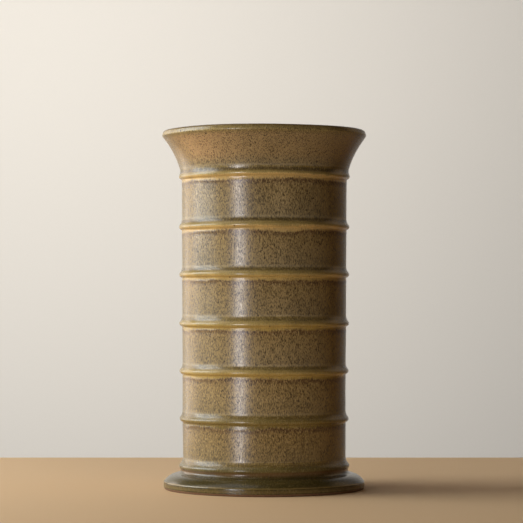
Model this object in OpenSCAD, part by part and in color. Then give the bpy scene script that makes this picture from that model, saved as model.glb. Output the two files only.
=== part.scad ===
// Tall stoneware vase with a flared rim, six applied beads, a foot bead and a wide foot flange.
// It is built in sections while the clay is leather-hard: a foot plate, one thrown wall and a
// rim collar, lapped and luted together, with clay coils seated in shallow channels over the
// joints and up the wall. A glaze coat lines the inside and another covers the outside.
//
// Frame: millimetres, +Z up the axis, origin at the centre of the face it stands on.
// Every solid is turned about Z. Outlines are [radius, height] points, and the "depth" that the
// outline functions take is how far a line lies below the glazed surface: 0 is the glaze's own
// face and glaze_t is the face of the clay under it.

/* [Overall] */
// Height from the table to the top of the lip
total_h = 305; // [250:1:370]
// Glazed diameter of the wall behind the top bead
wall_top_d = 141; // [115:0.5:172]
// How much narrower the wall is behind the foot bead
wall_taper = 2.6; // [0:0.1:8]

/* [Clay and glaze] */
// Thickness of the clay wall
wall_t = 6; // [4.5:0.1:9]
// Thickness of both glaze coats
glaze_t = 0.5; // [0.3:0.05:0.8]
// Height of the bare band that the outside glaze stops above
bare_band_h = 1.8; // [1:0.1:2.6]

/* [Rim collar] */
// Height from the crest of the top bead to the top of the lip
collar_h = 39.4; // [32:0.2:50]
// How far the lip stands out from the wall
rim_reach = 16.8; // [12:0.2:21]
// Lean of the collar just under the lip, outside
lip_lean = 38.7; // [36:0.1:44]
// Lean of the collar just under the lip, inside
mouth_lean = 42; // [40:0.5:48]
// Height of the lip's face, from its lower corner to its top
lip_h = 4.1; // [3.6:0.1:5]
// Radius of the roll along the top of the lip
lip_roll_r = 2.3; // [1.9:0.1:2.8]
// How far the roll is set in from the lip's lower corner
lip_set_in = 0.4; // [0.2:0.05:0.8]
// Radius of the lip's lower corner
lip_corner_r = 1.2; // [1:0.05:1.6]
// Where round the roll the two glaze coats meet, from straight out
lip_break_a = 120; // [95:1:130]
// Radius that eases the collar into the wall, inside
throat_r = 30; // [15:1:45]

/* [Beads] */
// How far a wall bead stands out from the wall
bead_proud = 2.5; // [1.8:0.05:3.2]
// Radius of a wall bead's coil
bead_r = 2.4; // [1.9:0.05:3]
// Radius of the blend from the wall down onto a bead
bead_top_fillet = 8; // [5:0.1:10]
// Radius of the blend under a wall bead
bead_low_fillet = 1.2; // [0.8:0.05:2]
// How far the top course is taller than the courses under it
top_course_extra = 2.2; // [0:0.1:6]
// How deep the coils are seated in the wall
channel_depth = 0.8; // [0.5:0.05:1.2]

/* [Foot] */
// Height of the foot bead's crest
foot_bead_z = 19.8; // [18:0.1:25]
// How far the foot bead stands out from the wall
foot_bead_proud = 3.1; // [2.4:0.05:3.8]
// Radius of the foot bead's coil
foot_bead_r = 2.8; // [2.3:0.05:3.3]
// How far the flange stands out from the wall
flange_reach = 16.4; // [13:0.2:21]
// Height that the top of the flange would meet its edge at, without the arris
flange_edge_h = 6.3; // [5:0.1:8]
// Radius of the flange's upper arris
flange_arris_r = 1.4; // [0.9:0.05:1.8]
// Radius of the dome across the top of the flange
flange_dome_r = 16; // [13:0.5:26]
// How far the bottom of the neck over the flange stands out from the wall
neck_reach = 2; // [1.2:0.1:2.6]
// Radius of the hollow of the neck, between the flange and the foot bead
neck_r = 3; // [2.2:0.1:3.6]
// Bevel turned under the flange's edge
foot_bevel = 0.8; // [0.4:0.05:1.2]
// Width of the flat ring that the vase stands on
foot_ring_w = 14; // [8:0.5:22]
// Depth turned out of the underside inside that ring
foot_recess_h = 2.5; // [1.5:0.1:3.5]
// Slope of the recess's edge, as its width
recess_slope = 1; // [0.5:0.1:2]

/* [Inside] */
// Height of the glazed floor inside
floor_h = 11; // [9.5:0.1:13]
// Radius where the floor turns up into the wall
floor_fillet = 9; // [5:0.5:10]

/* [Joints] */
// How far each lap joint's spigot reaches past its seam
lap_h = 7; // [5.5:0.1:9]

/* [Hidden] */
// How far each bead was set by hand off its even mark, from the top bead down
BEAD_SET = [0, 0, 0, -0.9, -0.9, -0.7];
BEADS = len(BEAD_SET);
BEAD_NODES = [for (i = [1:BEADS]) str("bead_", i)];

$fn = 128;
// How far an arc's chords may fall short of it
arc_tol = 0.02;

// Glazed wall radii and the heights that the courses are set out between
top_r = wall_top_d / 2;
foot_r = (wall_top_d - wall_taper) / 2;
top_bead_z = total_h - collar_h;
course_h = (top_bead_z - foot_bead_z - top_course_extra) / BEADS;

// Whole thickness, glaze to glaze, and the radii of the lap joints' faces
full_t = wall_t + 2 * glaze_t;
top_lap_r = top_r - glaze_t - wall_t / 2;
foot_lap_r = foot_r - glaze_t - wall_t / 2;

// ---- Arithmetic of arcs -------------------------------------------------------------------

// Point at an angle round a circle
function on_circle(c, r, a) = c + r * [cos(a), sin(a)];

// Arc from angle a to angle b, in chords that all miss it by the same amount
function arc(c, r, a, b) =
    let (n = ceil(abs(b - a) * PI / 180 * r / sqrt(8 * arc_tol * r)))
    [for (i = [0:n]) on_circle(c, r, a + (b - a) * i / n)];

// A list without its first point, for a line that starts where the last one ended
function after(line) = [for (i = [1:len(line) - 1]) line[i]];

// A list backwards
function reversed(line) = [for (i = [len(line) - 1:-1:0]) line[i]];

// Direction from one point to another
function bearing(from, to) = atan2(to[1] - from[1], to[0] - from[0]);

// Where two circles cross, on the right of the line from the first centre to the second
function crossing(c1, r1, c2, r2) =
    let (
        gap = norm(c2 - c1),
        off = acos((r1 * r1 + gap * gap - r2 * r2) / (2 * r1 * gap))
    )
    on_circle(c1, r1, bearing(c1, c2) - off);

// Centre of the collar's arc from a start point to an end point, where it leans by end_lean
// from upright, as [centre, radius]. The arc's centre is outside the vase.
function leaning_arc(start, end, end_lean) =
    let (
        start_lean = 2 * atan((end[0] - start[0]) / (end[1] - start[1])) - end_lean,
        r = (end[1] - start[1]) / (sin(end_lean) - sin(start_lean))
    )
    [start + r * [cos(start_lean), -sin(start_lean)], r];

// ---- Wall and beads -----------------------------------------------------------------------

function wall_r(z) = foot_r + (top_r - foot_r) * (z - foot_bead_z) / (top_bead_z - foot_bead_z);

// Crest heights, counting the beads down from 1 at the top
function bead_z(i) =
    top_bead_z - (i > 1 ? top_course_extra : 0) - (i - 1) * course_h + BEAD_SET[i - 1];

function bead_centre(i) = [wall_r(bead_z(i)) + bead_proud - bead_r, bead_z(i)];

// Centre of the blend between the wall and a coil: side is 1 above the coil and -1 below it
function blend_centre(c, coil_r, wall, fillet, side) =
    let (x = wall + fillet)
    [x, c[1] + side * sqrt(pow(coil_r + fillet, 2) - pow(x - c[0], 2))];

// A coil's outline between a lower and an upper blend, from the bottom up
function coil_line(c, coil_r, low, low_r, low_a, up, up_r, up_a, depth) = concat(
    arc(low, low_r + depth, low_a, bearing(low, c)),
    after(arc(c, coil_r - depth, bearing(c, low), bearing(c, up))),
    after(arc(up, up_r + depth, bearing(c, up) + 180, up_a))
);

function bead_low(i) =
    blend_centre(bead_centre(i), bead_r, wall_r(bead_z(i)), bead_low_fillet, -1);

// The top bead blends into the collar's arc, and the others into the upright wall
function bead_up(i) = i > 1
    ? blend_centre(bead_centre(i), bead_r, wall_r(bead_z(i)), bead_top_fillet, 1)
    : crossing(collar[0], collar[1] - bead_top_fillet, bead_centre(1), bead_r + bead_top_fillet);

function bead_up_a(i) = i > 1 ? 180 : bearing(collar[0], bead_up(1));

function bead_line(i, depth) = coil_line(
    bead_centre(i), bead_r,
    bead_low(i), bead_low_fillet, 180,
    bead_up(i), bead_top_fillet, bead_up_a(i),
    depth
);

// Back of the channel that a coil is seated in
function channel_r(z) = wall_r(z) - glaze_t - channel_depth;

// ---- Collar and lip -----------------------------------------------------------------------

lip_corner = [top_r + rim_reach - lip_corner_r, total_h - lip_h];
lip_roll = [top_r + rim_reach - lip_set_in - lip_roll_r, total_h - lip_roll_r];
// Direction that the flat face between the lip's corner and its roll looks in
lip_face_a = bearing(lip_corner, lip_roll)
    - acos((lip_corner_r - lip_roll_r) / norm(lip_roll - lip_corner));

collar = leaning_arc([top_r, top_bead_z], on_circle(lip_corner, lip_corner_r, -lip_lean), lip_lean);
mouth = leaning_arc([top_r - full_t, top_bead_z],
    on_circle(lip_roll, lip_roll_r, 180 - mouth_lean), mouth_lean);

// Outside of the collar from the top bead's blend, over the lip to where the coats meet
function collar_line(depth) = concat(
    arc(collar[0], collar[1] + depth, bead_up_a(1), 180 - lip_lean),
    after(arc(lip_corner, lip_corner_r - depth, -lip_lean, lip_face_a)),
    arc(lip_roll, lip_roll_r - depth, lip_face_a, lip_break_a)
);

// ---- Foot ---------------------------------------------------------------------------------

flange_r = foot_r + flange_reach;
foot_bead_c = [foot_r + foot_bead_proud - foot_bead_r, foot_bead_z];
foot_bead_up = blend_centre(foot_bead_c, foot_bead_r, foot_r, bead_top_fillet, 1);

// The neck's hollow touches the foot bead's coil, and the flange's dome runs on from it
neck_c = blend_centre(foot_bead_c, foot_bead_r, foot_r + neck_reach, neck_r, -1);
dome_c = crossing(neck_c, flange_dome_r + neck_r, [flange_r, flange_edge_h], flange_dome_r);
arris_x = flange_r - flange_arris_r;
arris_c = [arris_x,
    dome_c[1] + sqrt(pow(flange_dome_r - flange_arris_r, 2) - pow(arris_x - dome_c[0], 2))];

// From the top of the flange's edge, over the dome and round the neck to the foot bead's coil
function flange_line(depth) = concat(
    arc(arris_c, flange_arris_r - depth, 0, bearing(dome_c, arris_c)),
    after(arc(dome_c, flange_dome_r - depth, bearing(dome_c, arris_c), bearing(dome_c, neck_c))),
    after(arc(neck_c, neck_r + depth, bearing(neck_c, dome_c), -360 + bearing(neck_c, foot_bead_c)))
);

// The foot bead's coil from the neck, and its blend up to the wall
function foot_bead_line(depth) = concat(
    arc(foot_bead_c, foot_bead_r - depth, bearing(foot_bead_c, neck_c),
        bearing(foot_bead_c, foot_bead_up)),
    after(arc(foot_bead_up, bead_top_fillet + depth,
        bearing(foot_bead_c, foot_bead_up) + 180, 180))
);

// ---- Inside -------------------------------------------------------------------------------

throat_c = let (x = top_r - full_t + throat_r)
    [x, mouth[0][1] + sqrt(pow(mouth[1] - throat_r, 2) - pow(mouth[0][0] - x, 2))];
floor_c = [foot_r - full_t - floor_fillet, floor_h + floor_fillet];

// From where the coats meet on the lip, down the mouth to the bottom of the throat
function mouth_line(depth) = concat(
    arc(lip_roll, lip_roll_r - depth, lip_break_a, 180 - mouth_lean),
    after(arc(mouth[0], mouth[1] - depth, 180 - mouth_lean, bearing(mouth[0], throat_c))),
    after(arc(throat_c, throat_r - depth, bearing(mouth[0], throat_c), 180))
);

// From the foot of the wall, round the corner and across the floor to the axis
function floor_line(depth) = concat(
    arc(floor_c, floor_fillet + depth, 0, -90),
    [[0, floor_h - depth]]
);

// Clay radius inside, along the straight wall between the floor's corner and the throat
function inside_r(z) = foot_r - full_t + glaze_t
    + (top_r - foot_r) * (z - floor_c[1]) / (throat_c[1] - floor_c[1]);

// ---- Whole outlines, for the glaze --------------------------------------------------------

function outside_line(depth) = concat(
    [[flange_r - depth, bare_band_h]],
    flange_line(depth),
    after(foot_bead_line(depth)),
    [for (i = [BEADS:-1:1]) each bead_line(i, depth)],
    after(collar_line(depth))
);

function inside_line(depth) = concat(mouth_line(depth), floor_line(depth));

// ---- Pieces -------------------------------------------------------------------------------

module turned(outline) {
    rotate_extrude()
        polygon(outline);
}

// Height of the shelf that the foot bead sits on, at the top of the neck
shelf_z = on_circle(foot_bead_c, foot_bead_r - glaze_t, bearing(foot_bead_c, neck_c))[1];

// Floor, flange and the short upstand whose spigot the wall fits over
module foot_plate() {
    edge_r = flange_r - glaze_t;
    ring_r = flange_r - foot_ring_w;
    color("saddlebrown")
        turned(concat(
            [
                [0, foot_recess_h],
                [ring_r - recess_slope, foot_recess_h],
                [ring_r, 0],
                [edge_r - foot_bevel, 0],
                [edge_r, foot_bevel]
            ],
            flange_line(glaze_t),
            [
                [channel_r(foot_bead_z), shelf_z],
                [channel_r(foot_bead_z), foot_bead_z],
                [foot_lap_r, foot_bead_z],
                [foot_lap_r, foot_bead_z + lap_h],
                [inside_r(foot_bead_z + lap_h), foot_bead_z + lap_h]
            ],
            floor_line(glaze_t)
        ));
}

// The channel for one bead, as the wall's outline passes it from below
function channel_line(i) =
    let (line = bead_line(i, glaze_t), z0 = line[0][1], z1 = line[len(line) - 1][1])
    [line[0], [channel_r(bead_z(i)), z0], [channel_r(bead_z(i)), z1], line[len(line) - 1]];

// The thrown wall: over the foot plate's spigot below, and round the collar's spigot above
module body_wall() {
    foot_end = foot_bead_up[1];
    top_start = bead_line(1, glaze_t)[0];
    color("peru")
        turned(concat(
            [
                [foot_lap_r, foot_bead_z],
                [channel_r(foot_bead_z), foot_bead_z],
                [channel_r(foot_bead_z), foot_end],
                [foot_r - glaze_t, foot_end]
            ],
            [for (i = [BEADS:-1:2]) each channel_line(i)],
            [
                top_start,
                [channel_r(top_bead_z), top_start[1]],
                [channel_r(top_bead_z), top_bead_z],
                [top_lap_r, top_bead_z],
                [top_lap_r, top_bead_z - lap_h],
                [inside_r(top_bead_z - lap_h), top_bead_z - lap_h],
                [inside_r(foot_bead_z + lap_h), foot_bead_z + lap_h],
                [foot_lap_r, foot_bead_z + lap_h]
            ]
        ));
}

// The flared collar, with a spigot that drops inside the wall
module rim_collar() {
    outside = collar_line(glaze_t);
    color("sandybrown")
        turned(concat(
            [
                [top_lap_r, top_bead_z],
                [channel_r(top_bead_z), top_bead_z],
                [channel_r(top_bead_z), outside[0][1]]
            ],
            outside,
            after(mouth_line(glaze_t)),
            [
                [inside_r(top_bead_z - lap_h), top_bead_z - lap_h],
                [top_lap_r, top_bead_z - lap_h]
            ]
        ));
}

// The heavier coil over the seam between the foot plate and the wall
module foot_bead() {
    color("chocolate")
        turned(concat(
            [[channel_r(foot_bead_z), shelf_z]],
            foot_bead_line(glaze_t),
            [[channel_r(foot_bead_z), foot_bead_up[1]]]
        ));
}

// One wall coil in its channel, counting down from 1, which covers the collar's seam
module bead(i) {
    line = bead_line(i, glaze_t);
    back_r = channel_r(bead_z(i));
    color("burlywood")
        turned(concat(
            [[back_r, line[0][1]]],
            line,
            [[back_r, line[len(line) - 1][1]]]
        ));
}

// The outside coat, from the bare band at the foot over everything to the lip
module outer_glaze() {
    color([0.42, 0.35, 0.22])
        turned(concat(outside_line(0), reversed(outside_line(glaze_t))));
}

// The inside coat, from the lip down over the whole floor
module inner_glaze() {
    color([0.47, 0.41, 0.29])
        turned(concat(inside_line(0), reversed(inside_line(glaze_t))));
}

foot_plate();
body_wall();
rim_collar();
foot_bead();
for (i = [1:BEADS])
    bead(i);
outer_glaze();
inner_glaze();
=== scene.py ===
"""Looks of a thrown stoneware vase: mottled ash glaze outside, liner glaze inside, bare clay underneath."""
import math

import bpy
import numpy as np
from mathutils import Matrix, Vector, noise


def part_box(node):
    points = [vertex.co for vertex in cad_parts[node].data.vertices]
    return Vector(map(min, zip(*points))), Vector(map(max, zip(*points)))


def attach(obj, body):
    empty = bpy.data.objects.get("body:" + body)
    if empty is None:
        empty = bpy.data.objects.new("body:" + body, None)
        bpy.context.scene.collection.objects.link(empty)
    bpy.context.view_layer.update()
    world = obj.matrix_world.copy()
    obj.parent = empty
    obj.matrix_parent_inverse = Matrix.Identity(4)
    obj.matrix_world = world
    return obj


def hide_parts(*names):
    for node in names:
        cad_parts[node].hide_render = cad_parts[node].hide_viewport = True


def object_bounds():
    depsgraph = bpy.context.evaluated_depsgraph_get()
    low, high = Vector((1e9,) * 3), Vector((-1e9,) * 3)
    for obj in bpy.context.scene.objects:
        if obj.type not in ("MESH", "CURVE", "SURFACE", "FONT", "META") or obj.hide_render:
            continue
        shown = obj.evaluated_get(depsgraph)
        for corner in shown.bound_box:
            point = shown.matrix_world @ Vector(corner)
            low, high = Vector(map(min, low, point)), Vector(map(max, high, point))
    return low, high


bl_info = {
    "name": "Stoneware vase",
    "version": (1, 0, 0),
    "blender": (4, 5, 0),
    "location": "View3D > Sidebar > Vase",
    "description": "Glazes and finishes a turned stoneware vase around its packed frame",
    "category": "Object",
}

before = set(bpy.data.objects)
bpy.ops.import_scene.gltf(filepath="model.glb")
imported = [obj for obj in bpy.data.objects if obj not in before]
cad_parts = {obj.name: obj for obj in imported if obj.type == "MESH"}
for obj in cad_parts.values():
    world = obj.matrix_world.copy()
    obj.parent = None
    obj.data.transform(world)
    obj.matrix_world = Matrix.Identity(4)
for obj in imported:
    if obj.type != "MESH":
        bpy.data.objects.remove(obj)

MM = 0.001
BODY = "root"
# The applied beads from the foot bead up
BEADS = ["foot_bead"] + sorted((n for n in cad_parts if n.startswith("bead_")), reverse=True)
FRAME_LOW, FRAME_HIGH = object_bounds()
# Edges that turn by more than this stay crisp in the shading
CRISP = math.radians(50)


def linear(hex_colour):
    """An sRGB hex colour as the linear red, green, blue and alpha that shaders take."""
    parts = [int(hex_colour[i:i + 2], 16) / 255 for i in (1, 3, 5)]
    return [p / 12.92 if p <= 0.04045 else ((p + 0.055) / 1.055) ** 2.4 for p in parts] + [1.0]


# ---- Settings -------------------------------------------------------------------------------


def length(name, text, default_mm, low_mm=0.0, high_mm=100.0):
    """A length setting, given in millimetres and held in metres."""
    return bpy.props.FloatProperty(name=name, description=text, default=default_mm * MM, min=low_mm * MM,
                                   max=high_mm * MM, unit="LENGTH", precision=5)


def colour(name, text, hex_colour):
    """A colour setting with its default as sRGB hex."""
    return bpy.props.FloatVectorProperty(name=name, description=text, default=linear(hex_colour), size=4,
                                         subtype="COLOR", min=0.0, max=1.0)


def power(name, text, watts):
    """A light's power setting, in watts."""
    return bpy.props.FloatProperty(name=name, description=text, default=watts, min=0, unit="POWER")


class VaseSizes(bpy.types.PropertyGroup):
    """Sizes of the hand-made detail on the vase."""
    segments: bpy.props.IntProperty(name="Segments", description="Faces round the vase", default=224,
                                    min=64, max=240)
    finest: length("Finest row", "Row spacing on the tightest curves", 0.42, 0.3, 2)
    coarsest: length("Coarsest row", "Row spacing on the straight wall", 3.0, 1, 10)
    unevenness: length("Unevenness", "How far the thrown wall strays from round", 0.25, 0, 0.4)
    bead_wander: length("Bead wander", "How far each bead rises and dips round the vase", 0.42, 0, 0.45)
    glaze_break: length("Glaze break", "How far below a crest the glaze breaks to ochre", 5.2, 3, 9)
    break_wander: length("Break wander", "How far the edge of the break strays", 0.9, 0, 3)
    roll: length("Glaze roll", "Height of the thick roll where the glaze stopped running", 0.16, 0, 0.4)
    throwing_ring: length("Throwing ring", "Spacing of the finger rings inside", 8.5, 4, 20)
    throwing_depth: length("Throwing depth", "Depth of the finger rings inside", 0.35, 0, 0.45)
    # The real hatching is too fine to show in the render, so it is drawn as coarse as it needs to show
    mottle: length("Mottle", "Width of one streak in the glaze's mottle", 0.72, 0.5, 5)


class VaseColours(bpy.types.PropertyGroup):
    """Colours of the glazes and the clay."""
    wall: colour("Wall", "Glaze at its ordinary thickness", "#957f56")
    wall_brown: colour("Brown wall", "Glaze over the upper half of a course", "#967c4d")
    wall_grey: colour("Grey wall", "Grey cast in the lower half of a course", "#8f7d5a")
    collar: colour("Collar", "Warmer glaze up the flare", "#a18457")
    # Painted bounce light: the warm light off the pale top, painted onto the left of the collar
    painted_bounce: colour("Blush", "Warm flash that the flame left on the collar", "#cf9f70")
    pool: colour("Pool", "Thick glaze in the groove above a bead", "#65532f")
    shallow: colour("Shallow pool", "Glaze in the groove above a lower bead", "#7a6739")
    pool_edge: colour("Pool edge", "Pale line along the top of a pool", "#a2906c")
    ochre: colour("Ochre", "Thin glaze over an upper bead", "#d6b16c")
    ochre_crest: colour("Ochre crest", "Thinnest glaze along a crest", "#b0985c")
    shoulder: colour("Shoulder", "Greyer glaze on the upper side of a bead", "#a88e50")
    ochre_low: colour("Low ochre", "Thin glaze over a lower bead", "#b4964f")
    # Multiplied over the glaze towards the foot, which makes it a little darker and yellower
    foot_tint: colour("Deep", "Cast of the thicker glaze towards the foot", "#f4f1e2")
    olive: colour("Olive", "Glaze over the foot bead and along the flange's edge", "#70643a")
    fringe: colour("Fringe", "Iron-brown edge under a bead", "#735634")
    foot: colour("Foot", "Dark olive on the flange", "#463c19")
    rim: colour("Rim", "Glaze on the lip", "#8a7440")
    straw: colour("Straw", "Light streaks of the mottle", "#b59c6c")
    speck: colour("Speck", "Iron specks and the dark of the mottle", "#3b2a14")
    liner: colour("Liner", "Poured glaze inside", "#75633a")
    clay: colour("Clay", "Bare fired stoneware", "#8a6a4c")
    clay_toast: colour("Toasted clay", "Clay where the flame flashed it", "#6d4a30")


class VaseStage(bpy.types.PropertyGroup):
    """The plain studio round the vase."""
    floor: colour("Floor", "Pale top that the vase stands on", "#efc898")
    backdrop: colour("Backdrop", "Paper behind it", "#e4dfd8")
    window: power("Window", "The large window on the left", 20.5)
    glow: power("Glow", "The broad light from behind the left", 14.5)
    narrow: power("Narrow", "The narrow window in front on the left", 15.8)
    right_glow: power("Right glow", "The dim light from behind the right", 2.3)
    right_high: power("Right high", "The dim high light on the right", 0.4)
    fill: power("Fill", "The small light in front on the right", 1.0)
    left: power("Left", "The light on the left of the pale top", 2.2)
    top: power("Top", "The soft light overhead, a little to the left", 4.0)
    wash: power("Wash", "The light on the backdrop", 41.0)
    room: bpy.props.FloatProperty(name="Room", description="Brightness of the room beyond the boards",
                                  default=0.85, min=0)


# ---- Objects and outlines -------------------------------------------------------------------


def only(piece):
    """Selects one object and makes it active."""
    bpy.ops.object.select_all(action="DESELECT")
    piece.select_set(True)
    bpy.context.view_layer.objects.active = piece


def section(node):
    """The outline that a half-plane through the axis cuts from a CAD node.

    Gives its points in order, as [radius, height] in mm, and whether it is closed."""
    # Places closer than this are one, in metres
    same = 1e-6
    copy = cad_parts[node].copy()
    copy.data = copy.data.copy()
    copy.parent = None
    bpy.context.scene.collection.objects.link(copy)
    only(copy)
    bpy.ops.object.mode_set(mode="EDIT")
    bpy.ops.mesh.select_all(action="SELECT")
    bpy.ops.mesh.remove_doubles(threshold=same)
    bpy.ops.mesh.select_all(action="SELECT")
    bpy.ops.mesh.bisect(plane_co=(0, 0, 0), plane_no=(0, 1, 0), clear_inner=True, clear_outer=True,
                        threshold=same)
    bpy.ops.object.mode_set(mode="OBJECT")
    places = [v.co / MM for v in copy.data.vertices]
    # What lies beside each vertex, on the right of the axis and not along it
    beside = {}
    for a, b in (e.vertices for e in copy.data.edges):
        if places[a].x > -1e-3 and places[b].x > -1e-3 and places[a].x + places[b].x > 1e-3:
            beside.setdefault(a, []).append(b)
            beside.setdefault(b, []).append(a)
    ends = [v for v, near in beside.items() if len(near) == 1]
    at = min(ends or beside, key=lambda v: places[v].z)
    path, last = [at], None
    while True:
        onward = [v for v in beside[at] if v != last and v not in path[-2:]]
        if not onward or onward[0] == path[0]:
            break
        last, at = at, onward[0]
        path.append(at)
    mesh = copy.data
    bpy.data.objects.remove(copy)
    bpy.data.meshes.remove(mesh)
    return np.array([[max(places[v].x, 0.0), places[v].z] for v in path]), not ends


# A turn sharper than this is a corner of an outline, in degrees
CORNER = 60


def corners(points, closed):
    """The places in an outline where it turns a corner."""
    legs = np.diff(np.vstack([points[-1:], points, points[:1]]), axis=0)
    heading = np.degrees(np.arctan2(legs[:, 1], legs[:, 0]))
    turn = np.abs((np.diff(heading) + 180) % 360 - 180)
    if not closed:
        turn[[0, -1]] = 0
    return np.flatnonzero(turn > CORNER)


def faired(points):
    """The smooth curve through an outline's points, in steps of about a tenth of a millimetre."""
    legs = np.diff(points, axis=0)
    long = np.hypot(*legs.T)
    slopes = np.vstack([legs[:1], legs[:-1] + legs[1:], legs[-1:]])
    slopes /= np.hypot(*slopes.T)[:, None]
    fine = []
    for i, reach in enumerate(long):
        t = np.arange(0, 1, 1 / max(1, math.ceil(reach / 0.1)))[:, None]
        start, end = slopes[i] * reach, slopes[i + 1] * reach
        fine.append((2 * t**3 - 3 * t**2 + 1) * points[i] + (t**3 - 2 * t**2 + t) * start
                    + (3 * t**2 - 2 * t**3) * points[i + 1] + (t**3 - t**2) * end)
    return np.vstack(fine + [points[-1:]])


def travelled(points):
    """Distance along a line at each of its points, in mm."""
    return np.concatenate([[0], np.cumsum(np.hypot(*np.diff(points, axis=0).T))])


# How far each way along an outline its bend is measured, in mm
BEND_REACH = 0.5


def respaced(points, finest, coarsest, share, limit=None):
    """A line's points set out again: close together on tight curves and far apart on straight stretches.

    share is the row spacing as a share of the curve's radius, and limit(points) may ask for closer rows."""
    fine = faired(points)
    s = travelled(fine)
    behind, here, ahead = (np.array([np.interp(s + reach, s, c) for c in fine.T])
                           for reach in (-BEND_REACH, 0, BEND_REACH))
    coming, going = (np.arctan2(*(b - a)[::-1]) for a, b in ((behind, here), (here, ahead)))
    bend = np.abs((going - coming + math.pi) % (2 * math.pi) - math.pi)
    # The bend can't be measured close to the ends, so their rows are set as on a curve of 5 mm radius
    bend[(s < BEND_REACH) | (s > s[-1] - BEND_REACH)] = 0.1
    step = np.clip(share * BEND_REACH / np.maximum(bend, 1e-4), finest, coarsest)
    if limit is not None:
        step = np.minimum(step, limit(fine))
    step = np.array([step[(s > d - BEND_REACH) & (s < d + BEND_REACH)].min() for d in s])
    rows = np.zeros_like(s)
    rows[1:] = np.cumsum(np.diff(s) / (0.5 * (step[1:] + step[:-1])))
    count = max(2, round(rows[-1]))
    at = np.interp(np.linspace(0, rows[-1], count + 1), rows, s)
    return np.array([np.interp(at, s, c) for c in fine.T]).T


# Vertices closer than this are joined after the spin, in metres
WELD = 5e-6


def spun(name, outline, closed, segments, marks=None):
    """A solid of revolution: one vertex extruded along an outline in mm, then spun round the axis.

    marks are values for each outline point, which the spun vertices keep as attributes."""
    r, z = outline[0] * MM
    bpy.ops.object.select_all(action="DESELECT")
    bpy.ops.mesh.primitive_plane_add(size=MM, location=(0, 0, 0))
    piece = bpy.context.object
    piece.name = piece.data.name = name
    bpy.ops.object.mode_set(mode="EDIT")
    bpy.ops.mesh.select_all(action="SELECT")
    bpy.ops.mesh.merge(type="CENTER")
    bpy.ops.transform.translate(value=(r, 0, z))
    for dr, dz in np.diff(outline, axis=0) * MM:
        bpy.ops.mesh.extrude_vertices_move(TRANSFORM_OT_translate={"value": (dr, 0, dz)})
    if closed:
        bpy.ops.object.mode_set(mode="OBJECT")
        piece.data.vertices[0].select = piece.data.vertices[-1].select = True
        bpy.ops.object.mode_set(mode="EDIT")
        bpy.ops.mesh.edge_face_add()
    bpy.ops.object.mode_set(mode="OBJECT")
    for mark, values in (marks or {}).items():
        piece.data.attributes.new(mark, "FLOAT", "POINT").data.foreach_set("value", values)
    bpy.ops.object.mode_set(mode="EDIT")
    bpy.ops.mesh.select_all(action="SELECT")
    bpy.ops.mesh.spin(steps=segments, angle=2 * math.pi, center=(0, 0, 0), axis=(0, 0, 1))
    bpy.ops.mesh.select_all(action="SELECT")
    bpy.ops.mesh.remove_doubles(threshold=WELD)
    bpy.ops.mesh.select_all(action="SELECT")
    bpy.ops.mesh.normals_make_consistent(inside=False)
    bpy.ops.object.mode_set(mode="OBJECT")
    only(piece)
    bpy.ops.object.shade_smooth_by_angle(angle=CRISP)
    return piece


def marks_of(piece, name):
    """The values of one of a piece's attributes."""
    values = np.empty(len(piece.data.vertices), np.float32)
    piece.data.attributes[name].data.foreach_get("value", values)
    return values


def places_of(piece):
    """Each vertex's angle from the front, radius and height, in radians and mm.

    The angle grows towards +X, which is counter-clockwise from above."""
    flat = np.empty(3 * len(piece.data.vertices), np.float32)
    piece.data.vertices.foreach_get("co", flat)
    x, y, z = flat.reshape(-1, 3).T.astype(float) / MM
    return np.arctan2(x, -y), np.hypot(x, y), z


def reshape(piece, angle, r, z):
    """Puts a piece's vertices at new angles, radii and heights, in radians and mm."""
    flat = np.column_stack([r * np.sin(angle), -r * np.cos(angle), z]) * MM
    piece.data.vertices.foreach_set("co", flat.astype(np.float32).ravel())
    piece.data.update()


# Blender's noise seldom passes 0.6 either way, so this stretches it to fill -1 to 1
NOISE_STRETCH = 1.6
# The step through the noise from one layer to the next, which keeps them from looking alike
LAYER_STEP = 17.3


def wander(angle, height, wide, tall, layer):
    """Smooth noise from -1 to 1 round the vase: wide and tall are its lengths round and up it, in mm."""
    radius = MEAN_R / wide
    return np.array([
        noise.noise(Vector((radius * math.sin(a), radius * math.cos(a), h / tall + LAYER_STEP * layer)))
        * NOISE_STRETCH for a, h in zip(angle, height)
    ]).clip(-1, 1)


def eased(value, start, end):
    """0 before start, 1 after end, and a smooth rise between."""
    t = np.clip((value - start) / (end - start), 0, 1)
    return t * t * (3 - 2 * t)


# ---- Places on the vase ---------------------------------------------------------------------

TOP_Z = FRAME_HIGH.z / MM
MEAN_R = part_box("body_wall")[1].x / MM
GLAZE, _ = section("outer_glaze")


def crest_of(node):
    """Height of a bead's crest, in mm, from the glaze's own outline."""
    low, high = (corner.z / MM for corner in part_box(node))
    fine = faired(GLAZE)
    near = fine[(fine[:, 1] > low) & (fine[:, 1] < high)]
    return near[near[:, 0].argmax(), 1]


CRESTS = np.array([crest_of(node) for node in BEADS])
PITCH = float(np.mean(np.diff(CRESTS)))


def course_at(z):
    """Courses counted from the foot bead: a whole number at each crest, and fractions between them."""
    inner = np.interp(z, CRESTS, np.arange(len(CRESTS)))
    below = np.minimum(z - CRESTS[0], 0) / PITCH
    above = np.maximum(z - CRESTS[-1], 0) / PITCH
    return inner + below + above


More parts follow.
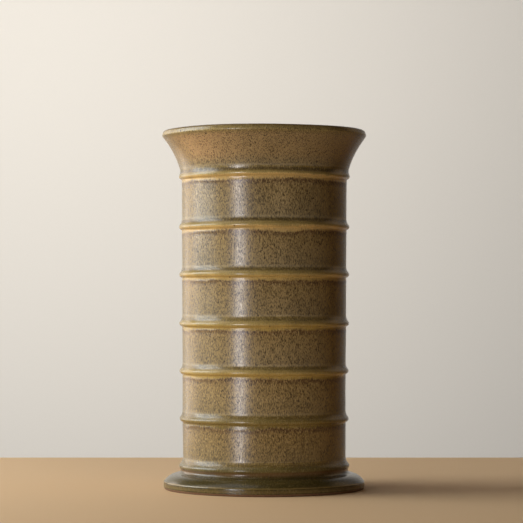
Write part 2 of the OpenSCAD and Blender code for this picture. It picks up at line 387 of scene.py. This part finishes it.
# Where the glaze ran further than its even edge: bead counted from the foot bead, degrees round
# from the front, half width in mm and how far in mm
RUNS = [
    (1, -8, 3.2, 2.6), (1, -1, 2.0, 1.4), (1, -31, 1.6, 1.2), (5, 14, 9.0, 1.6), (5, 22, 4.0, 1.2),
    (3, 31, 6.0, 1.2), (4, 38, 8.0, 1.0), (2, -52, 3.0, 1.4), (6, 47, 4.0, 1.0), (1, 96, 3.0, 2.4),
    (3, 128, 2.4, 1.8), (5, 163, 5.0, 2.0), (2, 201, 3.0, 1.8), (6, 232, 4.0, 1.6), (4, 258, 2.6, 2.2),
    (1, 291, 3.4, 1.6), (3, -74, 2.2, 1.2), (2, 74, 2.4, 1.4),
]


def run_under(angle, bead, sizes):
    """How far beyond its even edge the thin glaze has run below each vertex's bead, in mm."""
    stray = sizes.break_wander / MM
    run = stray * wander(angle, bead * 90.0, 26, 90, 1) + 0.4 * stray * wander(angle, bead * 90.0, 7, 90, 2)
    for where, degrees, half, reach in RUNS:
        away = (angle - math.radians(degrees) + math.pi) % (2 * math.pi) - math.pi
        run += (bead == where) * reach * np.exp(-(away * MEAN_R / half) ** 2)
    return run


def settled(angle, r, z, sizes):
    """How far the hand-thrown surface strays, outward and upward in mm, never past the vase's box."""
    course = course_at(z)
    nearest = np.clip(np.round(course), 0, len(CRESTS) - 1)
    bead_half = 5
    on_bead = np.exp(-((course - nearest) * PITCH / bead_half) ** 2)
    out = sizes.unevenness / MM * wander(angle, z, 55, 60, 3)
    out += 0.12 * on_bead * wander(angle, nearest * 50, 20, 50, 4)
    up = sizes.bead_wander / MM * on_bead * wander(angle, nearest * 70, 48, 70, 5)
    # The lip strays inward and downward only, and the flange inward only, so the vase stays in its box
    lip = eased(z, TOP_Z - 9, TOP_Z - 3)
    foot = eased(-z, -14, -8)
    dip = 0.18 + 0.18 * wander(angle, z * 0, 45, 70, 6)
    out = out * (1 - lip) * (1 - foot) - dip * lip - 0.7 * dip * foot
    up = up * (1 - foot) - dip * lip
    return out, up


# ---- Materials ------------------------------------------------------------------------------


def put(tree, kind, inputs=None, **settings):
    """Adds a shader node, sets its settings, and links or sets its inputs."""
    node = tree.nodes.new(kind)
    for name, value in settings.items():
        setattr(node, name, value)
    for name, value in (inputs or {}).items():
        if isinstance(value, bpy.types.NodeSocket):
            tree.links.new(value, node.inputs[name])
        else:
            node.inputs[name].default_value = value
    return node


def stops(node, colours):
    """Sets a ramp's stops from (position, colour or grey level) pairs."""
    ramp = node.color_ramp
    while len(ramp.elements) > 1:
        ramp.elements.remove(ramp.elements[-1])
    for i, (place, value) in enumerate(colours):
        stop = ramp.elements[0] if i == 0 else ramp.elements.new(place)
        stop.position = place
        stop.color = value if hasattr(value, "__len__") else (value, value, value, 1)
    return node.outputs["Color"]


def new_material(name):
    """An empty material, with its node tree and its output node."""
    material = bpy.data.materials.new(name)
    material.use_nodes = True
    material.node_tree.nodes.clear()
    return material, material.node_tree, put(material.node_tree, "ShaderNodeOutputMaterial")


def streaks(tree, wide, tall, layer, detail=2.0, rough=0.55, distort=0.0):
    """Noise from 0 to 1, drawn out down the vase: wide and tall are the size of one streak in metres.

    layer picks another part of the noise."""
    where = put(tree, "ShaderNodeTexCoord").outputs["Object"]
    drawn = put(tree, "ShaderNodeMapping", {
        "Vector": where, "Location": (layer, 2 * layer, 3 * layer),
        "Scale": (1 / wide, 1 / wide, 1 / tall),
    })
    return put(tree, "ShaderNodeTexNoise", {
        "Vector": drawn.outputs["Vector"], "Scale": 1.0, "Detail": detail, "Roughness": rough,
        "Distortion": distort,
    }).outputs["Fac"]


def course_bands(tree, colours, course, place, edge):
    """The glaze's colours from each crest up to the next.

    place is the share of a course above its lower crest, and edge is the place where the ochre begins."""
    # One millimetre, as a share of a course
    up = 1 / PITCH

    def lower_half(shoulder, crest, start, pool):
        """From a crest up through the pool above it, which starts at so many mm above the crest."""
        return [(0.0, crest), (0.8 * up, shoulder), (start * up, shoulder), ((start + 1.6) * up, pool),
                (4.8 * up, pool), (6.2 * up, colours.pool_edge), (6.9 * up, colours.pool_edge),
                (8.2 * up, colours.wall_grey)]

    def upper_half(ochre, crest):
        """From the middle of a course up to the fringe, then over the thin glaze to the next crest."""
        return [(0.45, colours.wall), (0.72, colours.wall_brown), (edge - 4.8 * up, colours.wall_brown),
                (edge - 1.7 * up, colours.fringe), (edge - 0.5 * up, colours.fringe),
                (edge + 0.8 * up, ochre), (0.97, ochre), (1.0, crest)]

    foot_bead, low_rings, high_rings, flare = (
        stops(put(tree, "ShaderNodeValToRGB", {"Fac": place}), bands) for bands in (
            [*lower_half(colours.olive, colours.olive, 1.8, colours.shallow),
             *upper_half(colours.olive, colours.olive)],
            [*lower_half(colours.shoulder, colours.ochre_crest, 1.8, colours.shallow),
             *upper_half(colours.ochre_low, colours.ochre_crest)],
            [*lower_half(colours.shoulder, colours.ochre_crest, 1.9, colours.pool),
             *upper_half(colours.ochre, colours.ochre_crest)],
            [*lower_half(colours.shoulder, colours.ochre_crest, 0.9, colours.pool),
             (0.4, colours.collar), (1.0, colours.collar)],
        ))
    # Painted bounce light: a warm patch painted on the left of the collar, where light off the pale top falls
    painted_bounce = put(tree, "ShaderNodeAttribute", attribute_name="painted_bounce").outputs["Fac"]
    flare = put(tree, "ShaderNodeMix", {"Factor": painted_bounce, 6: flare, 7: colours.painted_bounce},
                data_type="RGBA").outputs[2]
    # Each set of bands takes over from the one below it between two courses, and the flare at the last crest
    band = foot_bead
    last = len(CRESTS) - 1
    takes_over = [(low_rings, 0.3, 1.9), (high_rings, 3.4, 4.6), (flare, last - 0.001, last + 0.001)]
    for above, start, end in takes_over:
        share = put(tree, "ShaderNodeMapRange", {"Value": course, "From Min": start, "From Max": end},
                    interpolation_type="SMOOTHSTEP").outputs["Result"]
        band = put(tree, "ShaderNodeMix", {"Factor": share, 6: band, 7: above}, data_type="RGBA").outputs[2]
    # The glaze is a little darker and yellower towards the foot
    foot_tint_share = put(tree, "ShaderNodeMapRange", {"Value": course, "From Min": 2.2, "From Max": 0.5},
                 interpolation_type="SMOOTHSTEP").outputs["Result"]
    return put(tree, "ShaderNodeMix", {"Factor": foot_tint_share, 6: band, 7: colours.foot_tint}, data_type="RGBA",
               blend_type="MULTIPLY").outputs[2]


def foot_and_lip_bands(tree, colours, band, on_flange, along, glaze_length):
    """Lays the flange's bands and the lip's over the others, set out from the glaze's two edges."""
    # The stops are shares of these distances in from an edge, in mm
    flange_reach = 40
    lip_reach = 20
    flange_part = put(tree, "ShaderNodeMath", {0: along, 1: 1 / flange_reach},
                      operation="MULTIPLY").outputs[0]
    flange = stops(put(tree, "ShaderNodeValToRGB", {"Fac": flange_part}), [
        (0.0, colours.fringe), (0.03, colours.foot), (0.085, colours.foot), (0.115, colours.rim),
        (0.145, colours.foot), (0.5, colours.foot), (0.6, colours.fringe), (0.7, colours.olive),
    ])
    band = put(tree, "ShaderNodeMix", {"Factor": on_flange, 6: band, 7: flange}, data_type="RGBA").outputs[2]
    from_top = put(tree, "ShaderNodeMath", {0: glaze_length, 1: along}, operation="SUBTRACT").outputs[0]
    lip_part = put(tree, "ShaderNodeMath", {0: from_top, 1: 1 / lip_reach}, operation="MULTIPLY").outputs[0]
    lip = stops(put(tree, "ShaderNodeValToRGB", {"Fac": lip_part}), [
        (0.0, colours.rim), (0.12, colours.fringe), (0.2, colours.rim), (0.34, colours.ochre_crest),
        (0.42, colours.rim), (1.0, colours.wall),
    ])
    on_lip = put(tree, "ShaderNodeMapRange", {"Value": lip_part, "From Min": 0.6, "From Max": 0.4}).outputs[0]
    return put(tree, "ShaderNodeMix", {"Factor": on_lip, 6: band, 7: lip}, data_type="RGBA").outputs[2]


def mottled(tree, colours, band, mottle, depth):
    """Lays broad clouds, the mottle and iron specks over the bands. depth is how far the mottle shows."""
    cloud = streaks(tree, 16 * MM, 26 * MM, 9, 3.0)
    clouded = put(tree, "ShaderNodeMapRange", {"Value": cloud, "From Min": 0.3, "From Max": 0.7,
                                               "To Min": 0.86, "To Max": 1.14}).outputs["Result"]
    band = put(tree, "ShaderNodeMix", {"Factor": 1.0, 6: band, 7: clouded}, data_type="RGBA",
               blend_type="MULTIPLY").outputs[2]
    # The dark streaks go to iron brown and the light ones to straw
    for full, most, tint in ((0.37, 0.92, colours.speck), (0.66, 1.0, colours.straw)):
        share = put(tree, "ShaderNodeMapRange", {"Value": mottle, "From Min": 0.5, "From Max": full,
                                                 "To Max": most}).outputs["Result"]
        share = put(tree, "ShaderNodeMath", {0: share, 1: depth}, operation="MULTIPLY").outputs[0]
        band = put(tree, "ShaderNodeMix", {"Factor": share, 6: band, 7: tint}, data_type="RGBA").outputs[2]
    # Pinholes and iron specks, about a millimetre wide and a centimetre apart
    where = put(tree, "ShaderNodeTexCoord").outputs["Object"]
    cells = put(tree, "ShaderNodeTexVoronoi", {"Vector": where, "Scale": 1 / (11 * MM)})
    speck = put(tree, "ShaderNodeMapRange", {"Value": cells.outputs["Distance"], "From Min": 0.075,
                                             "From Max": 0.03}).outputs["Result"]
    return put(tree, "ShaderNodeMix", {"Factor": speck, 6: band, 7: colours.speck},
               data_type="RGBA").outputs[2]


def ash_glaze(sizes, colours, glaze_length):
    """Satin ash glaze, reduction fired. It pools dark and grey-green where it is thick, breaks to ochre over
    the beads and leaves an iron-brown fringe where it stopped; the run of the glaze draws its mottle into
    short vertical streaks, and its skin is fine orange peel that breaks a highlight into specks.

    glaze_length is the distance over the glaze from its lower edge to its upper one, in mm."""
    material, tree, output = new_material("satin_ash_glaze")
    course = put(tree, "ShaderNodeAttribute", attribute_name="course").outputs["Fac"]
    run = put(tree, "ShaderNodeAttribute", attribute_name="run").outputs["Fac"]
    along = put(tree, "ShaderNodeAttribute", attribute_name="along").outputs["Fac"]
    mottle = streaks(tree, sizes.mottle, 2.8 * sizes.mottle, 1, 2.0, 0.6, 0.6)
    ragged = streaks(tree, 1.1 * MM, 7 * MM, 5, 1.0)

    # The place between two crests. Towards the upper one it is shifted where the glaze ran, and is ragged
    part = put(tree, "ShaderNodeMath", {0: course}, operation="FRACT").outputs[0]
    near_next = put(tree, "ShaderNodeMapRange", {"Value": part, "From Min": 0.55, "From Max": 0.8},
                    interpolation_type="SMOOTHSTEP").outputs["Result"]
    uneven = put(tree, "ShaderNodeMath", {0: ragged, 1: 0.5}, operation="SUBTRACT").outputs[0]
    uneven = put(tree, "ShaderNodeMath", {0: uneven, 1: 3.4, 2: run}, operation="MULTIPLY_ADD").outputs[0]
    shift = put(tree, "ShaderNodeMath", {0: uneven, 1: 1 / PITCH}, operation="MULTIPLY").outputs[0]
    shift = put(tree, "ShaderNodeMath", {0: shift, 1: near_next}, operation="MULTIPLY").outputs[0]
    place = put(tree, "ShaderNodeMath", {0: part, 1: shift}, operation="ADD", use_clamp=True).outputs[0]

    # How far the mottle shows: strong on the wall, weaker on a bead's thin glaze and weakest on the flange.
    # up is one millimetre as a share of a course
    up = 1 / PITCH
    edge = 1 - sizes.glaze_break / MM / PITCH
    depth = stops(put(tree, "ShaderNodeValToRGB", {"Fac": place}), [
        (0.0, 0.35), (3.0 * up, 0.55), (8 * up, 0.9), (0.5, 1.0), (edge, 1.0), (edge + 1.5 * up, 0.5),
        (1.0, 0.35),
    ])
    on_flange = put(tree, "ShaderNodeMapRange", {"Value": course, "From Min": -0.005, "From Max": -0.05},
                    interpolation_type="SMOOTHSTEP").outputs["Result"]
    calm = put(tree, "ShaderNodeMath", {0: on_flange, 1: -0.75, 2: 1.0}, operation="MULTIPLY_ADD").outputs[0]
    depth = put(tree, "ShaderNodeMath", {0: depth, 1: calm}, operation="MULTIPLY").outputs[0]

    band = course_bands(tree, colours, course, place, edge)
    band = foot_and_lip_bands(tree, colours, band, on_flange, along, glaze_length)
    band = mottled(tree, colours, band, mottle, depth)

    # The light streaks are glossier than the dark ones, and thin glaze on a bead is glossier than the wall
    rough = put(tree, "ShaderNodeMapRange", {"Value": mottle, "From Min": 0.3, "From Max": 0.7,
                                             "To Min": 0.40, "To Max": 0.17}).outputs["Result"]
    gloss = put(tree, "ShaderNodeMath", {0: depth, 1: 0.35, 2: 0.65}, operation="MULTIPLY_ADD").outputs[0]
    rough = put(tree, "ShaderNodeMath", {0: rough, 1: gloss}, operation="MULTIPLY").outputs[0]
    peel = streaks(tree, 0.9 * MM, 1.3 * MM, 13, 2.0)
    height = put(tree, "ShaderNodeMath", {0: mottle, 1: 0.6, 2: peel}, operation="MULTIPLY_ADD").outputs[0]
    bump = put(tree, "ShaderNodeBump", {"Height": height, "Strength": 1.0, "Distance": 0.06 * MM})
    shader = put(tree, "ShaderNodeBsdfPrincipled", {
        "Base Color": band, "Roughness": rough, "Normal": bump.outputs["Normal"], "IOR": 1.5,
    })
    tree.links.new(shader.outputs["BSDF"], output.inputs["Surface"])
    return material


def liner_glaze(sizes, colours):
    """The same ash glaze poured thin inside, which leaves it darker and a little glossier."""
    material, tree, output = new_material("poured_liner_glaze")
    mottle = streaks(tree, sizes.mottle, 2.2 * sizes.mottle, 21, 2.0, 0.6, 0.5)
    cloud = streaks(tree, 22 * MM, 30 * MM, 25, 3.0)
    tone = stops(put(tree, "ShaderNodeValToRGB", {"Fac": mottle}), [
        (0.3, colours.speck), (0.46, colours.liner), (0.58, colours.wall), (0.75, colours.ochre),
    ])
    tone = put(tree, "ShaderNodeMix", {"Factor": 0.45, 6: tone, 7: colours.liner},
               data_type="RGBA").outputs[2]
    clouded = put(tree, "ShaderNodeMapRange", {"Value": cloud, "From Min": 0.3, "From Max": 0.7,
                                               "To Min": 0.8, "To Max": 1.15}).outputs["Result"]
    tone = put(tree, "ShaderNodeMix", {"Factor": 1.0, 6: tone, 7: clouded}, data_type="RGBA",
               blend_type="MULTIPLY").outputs[2]
    rough = put(tree, "ShaderNodeMapRange", {"Value": mottle, "From Min": 0.3, "From Max": 0.7,
                                             "To Min": 0.3, "To Max": 0.18}).outputs["Result"]
    bump = put(tree, "ShaderNodeBump", {"Height": mottle, "Strength": 1.0, "Distance": 0.05 * MM})
    shader = put(tree, "ShaderNodeBsdfPrincipled", {
        "Base Color": tone, "Roughness": rough, "Normal": bump.outputs["Normal"], "IOR": 1.5,
    })
    tree.links.new(shader.outputs["BSDF"], output.inputs["Surface"])
    return material


def stoneware(colours):
    """Bare fired stoneware, wiped with a sponge: matt toasted clay with sand grains and iron spots."""
    material, tree, output = new_material("fired_stoneware_clay")
    flash = streaks(tree, 18 * MM, 14 * MM, 31, 3.0)
    grain = streaks(tree, 0.5 * MM, 0.5 * MM, 35, 3.0, 0.7)
    tone = put(tree, "ShaderNodeMix", {"Factor": flash, 6: colours.clay, 7: colours.clay_toast},
               data_type="RGBA").outputs[2]
    sand = put(tree, "ShaderNodeMapRange", {"Value": grain, "From Min": 0.3, "From Max": 0.7,
                                            "To Min": 0.72, "To Max": 1.25}).outputs["Result"]
    tone = put(tree, "ShaderNodeMix", {"Factor": 1.0, 6: tone, 7: sand}, data_type="RGBA",
               blend_type="MULTIPLY").outputs[2]
    where = put(tree, "ShaderNodeTexCoord").outputs["Object"]
    cells = put(tree, "ShaderNodeTexVoronoi", {"Vector": where, "Scale": 1 / (6 * MM)})
    iron = put(tree, "ShaderNodeMapRange", {"Value": cells.outputs["Distance"], "From Min": 0.14,
                                            "From Max": 0.07}).outputs["Result"]
    tone = put(tree, "ShaderNodeMix", {"Factor": iron, 6: tone, 7: colours.speck},
               data_type="RGBA").outputs[2]
    bump = put(tree, "ShaderNodeBump", {"Height": grain, "Strength": 1.0, "Distance": 0.12 * MM})
    shader = put(tree, "ShaderNodeBsdfPrincipled", {
        "Base Color": tone, "Roughness": 0.82, "Normal": bump.outputs["Normal"], "IOR": 1.5,
    })
    tree.links.new(shader.outputs["BSDF"], output.inputs["Surface"])
    return material


def paper(name, tint):
    """Matt paper or painted board: one even colour, with a faint fibre that keeps it from looking flat."""
    material, tree, output = new_material(name)
    fibre = streaks(tree, 3 * MM, 3 * MM, 41, 3.0)
    tone = put(tree, "ShaderNodeMapRange", {"Value": fibre, "To Min": 0.97, "To Max": 1.0}).outputs["Result"]
    tone = put(tree, "ShaderNodeMix", {"Factor": 1.0, 6: tint, 7: tone}, data_type="RGBA",
               blend_type="MULTIPLY").outputs[2]
    shader = put(tree, "ShaderNodeBsdfPrincipled", {"Base Color": tone, "Roughness": 0.8, "IOR": 1.45})
    tree.links.new(shader.outputs["BSDF"], output.inputs["Surface"])
    return material


def finish(piece, material, slot, *nodes):
    """Gives a piece its material and its body, and hides the CAD nodes that it stands for. The slot is not
    used.
    """
    piece.data.materials.clear()
    piece.data.materials.append(material)
    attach(piece, BODY)
    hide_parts(*nodes)


# ---- Operators ------------------------------------------------------------------------------


class GlazeOutside(bpy.types.Operator):
    """Spins the outside glaze over the foot, the beads and the collar, and lets it run and settle."""
    bl_idname = "vase.glaze_outside"
    bl_label = "Glaze the outside"

    def execute(self, context):
        sizes, colours = context.scene.vase_sizes, context.scene.vase_colours
        sharp = corners(GLAZE, True)
        if len(sharp) != 4:
            raise RuntimeError(f"the outside glaze should have 4 corners in section, and has {len(sharp)}")
        # Start at the outer corner at the foot, go up the outer face and over the lip, and down the back
        inner_low, low = sorted((i for i in sharp if GLAZE[i, 1] < TOP_Z / 2), key=lambda i: GLAZE[i, 0])
        loop = np.roll(GLAZE, -low, axis=0)
        if (inner_low - low) % len(GLAZE) == 1:
            loop = np.roll(loop[::-1], 1, axis=0)
        top = [i for i in corners(loop, True) if loop[i, 1] > TOP_Z / 2]
        finest, coarsest = sizes.finest / MM, sizes.coarsest / MM

        def closer_where_it_runs(points):
            """Rows no more than 0.8 mm apart in the 9 mm below each crest, where the glaze stops."""
            below_crest = (1 - course_at(points[:, 1]) % 1) * PITCH
            return np.where((below_crest < 9) & (points[:, 1] > CRESTS[0]), 0.8, coarsest)

        face = respaced(loop[:top[0] + 1], finest, coarsest, share=0.21, limit=closer_where_it_runs)
        # The back lies against the clay, out of sight, so its rows are far apart
        back = respaced(loop[top[1]:], 3 * finest, 4 * coarsest, share=0.7)
        outline = np.vstack([face, back])
        glaze_length = travelled(face)[-1]
        marks = {
            "along": np.concatenate([travelled(face), glaze_length + 1 + travelled(back)]),
            "course": course_at(outline[:, 1]),
        }
        piece = spun("glazed_outside", outline, True, sizes.segments, marks)

        angle, r, z = places_of(piece)
        course, along = marks_of(piece, "course"), marks_of(piece, "along")
        bead_above = np.ceil(course).clip(0, len(CRESTS) - 1)
        run = run_under(angle, bead_above, sizes) * (course < len(CRESTS) - 1) * (course > 0)
        piece.data.attributes.new("run", "FLOAT", "POINT").data.foreach_set("value", run)
        # Painted bounce light on the left of the collar, standing for the warm light off the pale top: where
        # it is and its half width, in degrees round, and its strength
        bounce_at, bounce_half, bounce_most = -42, 24, 0.55
        away = np.degrees(angle) - bounce_at + 6 * wander(angle, z, 22, 18, 9)
        on_collar = eased(course, len(CRESTS) - 0.85, len(CRESTS) - 0.55)
        painted_bounce = bounce_most * np.exp(-(away / bounce_half) ** 2) * on_collar
        piece.data.attributes.new("painted_bounce", "FLOAT", "POINT").data.foreach_set("value", painted_bounce)
        out, up = settled(angle, r, z, sizes)
        outside = along <= glaze_length
        # The roll stands just below the thin glaze's edge
        roll_gap, roll_half = 0.4, 0.9
        below = (bead_above - course) * PITCH
        roll_at = sizes.glaze_break / MM + run + roll_gap
        roll = sizes.roll / MM * np.exp(-((below - roll_at) / roll_half) ** 2) * (course > 0)
        reshape(piece, angle, r + out + roll * outside, z + up)
        finish(piece, ash_glaze(sizes, colours, float(glaze_length)), "ash_glaze", "outer_glaze")
        return {"FINISHED"}


class GlazeInside(bpy.types.Operator):
    """Spins the liner glaze over the floor and the wall, with the potter's throwing rings in it."""
    bl_idname = "vase.glaze_inside"
    bl_label = "Glaze the inside"

    def execute(self, context):
        sizes, colours = context.scene.vase_sizes, context.scene.vase_colours
        outline, _ = section("inner_glaze")
        if outline[0, 1] < outline[-1, 1]:
            outline = outline[::-1]
        top = corners(outline, False)
        if len(top) != 2:
            raise RuntimeError(f"the inside glaze should have 2 corners in section, and has {len(top)}")
        face = respaced(outline[:top[0] + 1], finest=0.6, coarsest=1.6, share=0.25)
        back = respaced(outline[top[1]:], finest=1.5, coarsest=12, share=0.7)
        piece = spun("glazed_inside", np.vstack([face, back]), False, sizes.segments)

        angle, r, z = places_of(piece)
        # Towards the lip the rings fade out and the glaze strays with the outside
        lip = eased(z, TOP_Z - 30, TOP_Z - 8)
        out, up = settled(angle, r, z, sizes)
        # The rings climb in a spiral, one turn for each, over the floor and up the wall
        travel = z + (MEAN_R - r)
        rings = np.sin(2 * math.pi * (travel / (sizes.throwing_ring / MM) + angle / (2 * math.pi)))
        strength = (0.6 + 0.4 * wander(angle, z, 60, 40, 8)) * sizes.throwing_depth / MM
        rings = rings * strength * (1 - lip) * eased(r, 3, 14)
        on_floor = eased(-z, -(CRESTS[0] + 4), -(CRESTS[0] - 8))
        reshape(piece, angle, r + out * lip + rings * (1 - on_floor), z + up * lip + rings * on_floor)
        finish(piece, liner_glaze(sizes, colours), "liner_glaze", "inner_glaze")
        return {"FINISHED"}


class TurnFoot(bpy.types.Operator):
    """Spins the foot plate again, with the turning tool's rings in the recess under it."""
    bl_idname = "vase.turn_foot"
    bl_label = "Turn the foot"

    def execute(self, context):
        sizes, colours = context.scene.vase_sizes, context.scene.vase_colours
        outline, _ = section("foot_plate")
        # Rows are close together underneath, where the rings go, and far apart elsewhere
        under_gap, other_gap = 0.7, 6
        rows = [outline[0]]
        for here in outline[1:]:
            gap = np.hypot(*(here - rows[-1]))
            under = max(here[1], rows[-1][1]) < CRESTS[0] / 4
            count = max(1, math.ceil(gap / (under_gap if under else other_gap)))
            rows.extend(rows[-1] + (here - rows[-1]) * (i + 1) / count for i in range(count))
        outline = np.array(rows)
        piece = spun("turned_foot_plate", outline, False, sizes.segments)

        angle, r, z = places_of(piece)
        # The recess's ceiling is the first of the outline to stand clear of the table, well inside the edge
        recess = np.flatnonzero((outline[:, 1] > 0.5) & (outline[:, 0] < outline[:, 0].max() - 12))
        ceiling = outline[recess[0], 1]
        under = (np.abs(z - ceiling) < 0.05) & (r < MEAN_R - 2)
        ring_depth, ring_gap = 0.22, 3.1
        spiral = math.pi * (r / ring_gap + angle / (2 * math.pi))
        turning = ring_depth * np.abs(np.sin(spiral)) * eased(r, 1, 6)
        reshape(piece, angle, r, z + turning * under)
        finish(piece, stoneware(colours), "stoneware_clay", "foot_plate")
        return {"FINISHED"}


class FireClay(bpy.types.Operator):
    """Gives the wall, the collar and the beads under the glaze their fired clay."""
    bl_idname = "vase.fire_clay"
    bl_label = "Fire the clay"

    def execute(self, context):
        clay = bpy.data.materials["fired_stoneware_clay"]
        for name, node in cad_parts.items():
            if name not in ("outer_glaze", "inner_glaze", "foot_plate"):
                for slot in node.material_slots:
                    slot.material = clay
        return {"FINISHED"}


class SetStage(bpy.types.Operator):
    """Sets the pale top, the backdrop, the studio lights and the camera."""
    bl_idname = "vase.set_stage"
    bl_label = "Set the stage"

    def execute(self, context):
        stage = context.scene.vase_stage
        # A pale top with its back edge a little way behind the vase, and paper well behind it
        for name, low, high, tint in (
            ("pale_top", (-1.6, -0.33, -0.03), (1.6, 0.37, 0.0), stage.floor),
            ("backdrop", (-4.0, 2.6, -1.6), (4.0, 2.62, 3.2), stage.backdrop),
        ):
            board = add_board(name, Vector(low), Vector(high))
            board.data.materials.append(paper("matt_" + name, tint))
        centre = (FRAME_LOW + FRAME_HIGH) / 2
        # Name, degrees round from the front, distance, height, width and tallness in metres, watts and colour
        lights = [
            ("window", -92, 1.6, 0.72, 1.3, 1.05, stage.window, "#e6f6ff"),
            ("glow", -123, 2.0, 0.40, 1.6, 1.3, stage.glow, "#fff0e4"),
            ("narrow_window", -34, 1.9, 0.10, 0.27, 0.95, stage.narrow, "#fbfaff"),
            ("right_glow", 122, 2.1, 1.10, 1.2, 1.5, stage.right_glow, "#ffdcb0"),
            ("right_high", 70, 1.6, 1.60, 1.2, 1.2, stage.right_high, "#ffe4c4"),
            ("front_fill", 22, 1.9, 0.43, 0.5, 0.34, stage.fill, "#ffdca8"),
            ("top", -80, 0.8, 1.90, 1.2, 1.2, stage.top, "#f6f8ff"),
        ]
        for name, degrees, away, height, wide, tall, watts, tint in lights:
            a = math.radians(degrees)
            place = Vector((away * math.sin(a), -away * math.cos(a), height))
            add_light(name, place, centre, wide, tall, watts, tint)
        add_light("left_wash", Vector((-0.95, -0.05, 0.75)), Vector((-0.75, 0.0, 0.0)), 0.5, 0.6, stage.left,
                  "#fff0e0")
        add_light("backdrop_wash", Vector((-0.9, 0.9, 0.9)), Vector((-0.7, 2.6, 0.7)), 2.4, 1.4, stage.wash,
                  "#fffcf6")
        # A pale room where no board is in view, which adds no light of its own
        world = bpy.data.worlds.new("pale_room")
        world.use_nodes = True
        world.node_tree.nodes["Background"].inputs["Color"].default_value = stage.backdrop
        world.node_tree.nodes["Background"].inputs["Strength"].default_value = stage.room
        world.cycles_visibility.diffuse = False
        world.cycles_visibility.glossy = False
        context.scene.world = world
        context.scene.view_settings.view_transform = "Standard"

        # A long lens in front, nearly two metres away and about halfway up the vase, looking up by a degree
        bpy.ops.object.camera_add(location=(-2.3 * MM, -1.879, 0.160),
                                  rotation=(math.radians(91.02), 0, 0))
        camera = context.object
        camera.data.lens = 151.4
        camera.data.sensor_width = 36
        camera.data.clip_end = 20
        context.scene.camera = camera
        return {"FINISHED"}


def add_board(name, low, high):
    """A board that fills the box between two corners, with its edges eased."""
    bpy.ops.object.select_all(action="DESELECT")
    bpy.ops.mesh.primitive_cube_add(size=1, location=(0, 0, 0))
    board = bpy.context.object
    board.name = board.data.name = name
    bpy.ops.object.mode_set(mode="EDIT")
    bpy.ops.mesh.select_all(action="SELECT")
    bpy.ops.transform.resize(value=high - low)
    bpy.ops.transform.translate(value=(low + high) / 2)
    bpy.ops.mesh.select_all(action="SELECT")
    bpy.ops.mesh.bevel(offset=2 * MM, segments=4, affect="EDGES")
    bpy.ops.object.mode_set(mode="OBJECT")
    bpy.ops.object.shade_smooth_by_angle(angle=CRISP)
    return board


def add_light(name, place, target, wide, tall, watts, tint):
    """A soft rectangular light that faces a target and isn't seen by the camera."""
    bpy.ops.object.light_add(type="AREA", location=place)
    light = bpy.context.object
    light.name = light.data.name = name
    light.rotation_euler = (target - place).to_track_quat("-Z", "Y").to_euler()
    light.data.shape = "RECTANGLE"
    light.data.size, light.data.size_y = wide, tall
    light.data.energy = watts
    light.data.color = linear(tint)[:3]
    light.visible_camera = False


OPERATORS = [GlazeOutside, GlazeInside, TurnFoot, FireClay, SetStage]


class VasePanel(bpy.types.Panel):
    """Lists the steps and their settings in the sidebar."""
    bl_idname = "VIEW3D_PT_vase"
    bl_label = "Stoneware vase"
    bl_space_type = "VIEW_3D"
    bl_region_type = "UI"
    bl_category = "Vase"

    def draw(self, context):
        for step in OPERATORS:
            self.layout.operator(step.bl_idname)
        for group in (context.scene.vase_sizes, context.scene.vase_colours, context.scene.vase_stage):
            for name in group.__annotations__:
                self.layout.prop(group, name)


GROUPS = {"vase_sizes": VaseSizes, "vase_colours": VaseColours, "vase_stage": VaseStage}


def register():
    """Registers the classes and gives each scene the three groups of settings."""
    for item in [*GROUPS.values(), *OPERATORS, VasePanel]:
        bpy.utils.register_class(item)
    for name, group in GROUPS.items():
        setattr(bpy.types.Scene, name, bpy.props.PointerProperty(type=group))


def unregister():
    """Takes back what register did, in the opposite order."""
    for name in GROUPS:
        delattr(bpy.types.Scene, name)
    for item in reversed([*GROUPS.values(), *OPERATORS, VasePanel]):
        bpy.utils.unregister_class(item)


def main():
    """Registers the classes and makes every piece."""
    register()
    bpy.ops.vase.glaze_outside()
    bpy.ops.vase.glaze_inside()
    bpy.ops.vase.turn_foot()
    bpy.ops.vase.fire_clay()
    bpy.ops.vase.set_stage()


if __name__ == "__main__":
    main()
